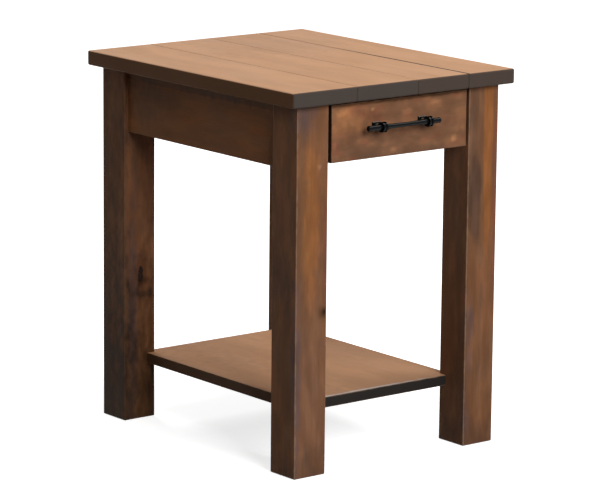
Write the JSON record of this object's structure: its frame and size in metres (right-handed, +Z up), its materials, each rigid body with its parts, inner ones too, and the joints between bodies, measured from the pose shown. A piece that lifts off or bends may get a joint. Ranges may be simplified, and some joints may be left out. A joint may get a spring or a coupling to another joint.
{
  "type": "end table",
  "caption": "Square-legged rustic wooden end table with a plank top, an inset drawer with a black bar pull and a low open shelf.",
  "frame": {"origin": "on the floor, under the centre of the table's bounding box with the drawer shut", "axes": "+Z up; X along the drawer front; the drawer opens towards -Y"},
  "size_m": [0.464, 0.5796, 0.635],
  "materials": {
    "top_wood": "satin",
    "leg_wood": "satin",
    "apron_wood": "satin",
    "shelf_wood": "satin",
    "drawer_front_wood": "satin",
    "inner_wood": "sanded",
    "drawer_box_wood": "satin",
    "drawer_bottom_panel": "satin",
    "pull_metal": "satin black",
    "slide_steel": "satin black coated",
    "clip_steel": "zinc plated",
    "cage_steel": "zinc plated",
    "ball_steel": "polished",
    "screw_steel": "zinc plated"
  },
  "bodies": {
    "table": {"top_plank_1": "top_wood", "top_plank_2": "top_wood", "top_plank_3": "top_wood", "top_plank_4": "top_wood", "leg_front_left": "leg_wood", "leg_front_right": "leg_wood", "leg_rear_left": "leg_wood", "leg_rear_right": "leg_wood", "apron_left": "apron_wood", "apron_right": "apron_wood", "apron_rear": "apron_wood", "front_rail": "inner_wood", "slide_cleat_left": "inner_wood", "slide_cleat_right": "inner_wood", "top_clips": "clip_steel", "top_clip_screws": "screw_steel", "front_rail_screws": "screw_steel", "cleat_screws": "screw_steel", "shelf_board_1": "shelf_wood", "shelf_board_2": "shelf_wood", "shelf_board_3": "shelf_wood", "shelf_screws": "screw_steel", "slide_outer_left": "slide_steel", "slide_outer_right": "slide_steel", "slide_case_screws": "screw_steel"},
    "drawer": {"drawer_front": "drawer_front_wood", "drawer_box_front": "drawer_box_wood", "drawer_box_back": "drawer_box_wood", "drawer_side_left": "drawer_box_wood", "drawer_side_right": "drawer_box_wood", "drawer_bottom": "drawer_bottom_panel", "drawer_front_screws": "screw_steel", "pull_bar": "pull_metal", "pull_post_left": "pull_metal", "pull_post_right": "pull_metal", "pull_screws": "screw_steel", "slide_inner_left": "slide_steel", "slide_inner_right": "slide_steel", "slide_drawer_screws": "screw_steel"},
    "middle_member_left": {"slide_middle_left": "slide_steel"},
    "middle_member_right": {"slide_middle_right": "slide_steel"},
    "outer_balls_left": {"ball_cage_outer_left": "cage_steel", "balls_outer_left": "ball_steel"},
    "outer_balls_right": {"ball_cage_outer_right": "cage_steel", "balls_outer_right": "ball_steel"},
    "inner_balls_left": {"ball_cage_inner_left": "cage_steel", "balls_inner_left": "ball_steel"},
    "inner_balls_right": {"ball_cage_inner_right": "cage_steel", "balls_inner_right": "ball_steel"}
  },
  "joints": [
    {"name": "drawer_slide", "type": "slide", "parent": "table", "child": "drawer", "axis": [0, -1, 0], "range_m": [0, 0.38]},
    {"name": "middle_member_left_slide", "type": "slide", "parent": "table", "child": "middle_member_left", "axis": [0, -1, 0], "range_m": [0, 0.19]},
    {"name": "outer_balls_left_slide", "type": "slide", "parent": "table", "child": "outer_balls_left", "axis": [0, -1, 0], "range_m": [0, 0.095]},
    {"name": "inner_balls_left_slide", "type": "slide", "parent": "table", "child": "inner_balls_left", "axis": [0, -1, 0], "range_m": [0, 0.285]},
    {"name": "middle_member_right_slide", "type": "slide", "parent": "table", "child": "middle_member_right", "axis": [0, -1, 0], "range_m": [0, 0.19]},
    {"name": "outer_balls_right_slide", "type": "slide", "parent": "table", "child": "outer_balls_right", "axis": [0, -1, 0], "range_m": [0, 0.095]},
    {"name": "inner_balls_right_slide", "type": "slide", "parent": "table", "child": "inner_balls_right", "axis": [0, -1, 0], "range_m": [0, 0.285]}
  ],
  "couplings": [
    {"joint": "middle_member_left_slide", "follows": "drawer_slide", "ratio": 0.5},
    {"joint": "outer_balls_left_slide", "follows": "drawer_slide", "ratio": 0.25},
    {"joint": "inner_balls_left_slide", "follows": "drawer_slide", "ratio": 0.75},
    {"joint": "middle_member_right_slide", "follows": "drawer_slide", "ratio": 0.5},
    {"joint": "outer_balls_right_slide", "follows": "drawer_slide", "ratio": 0.25},
    {"joint": "inner_balls_right_slide", "follows": "drawer_slide", "ratio": 0.75}
  ]
}
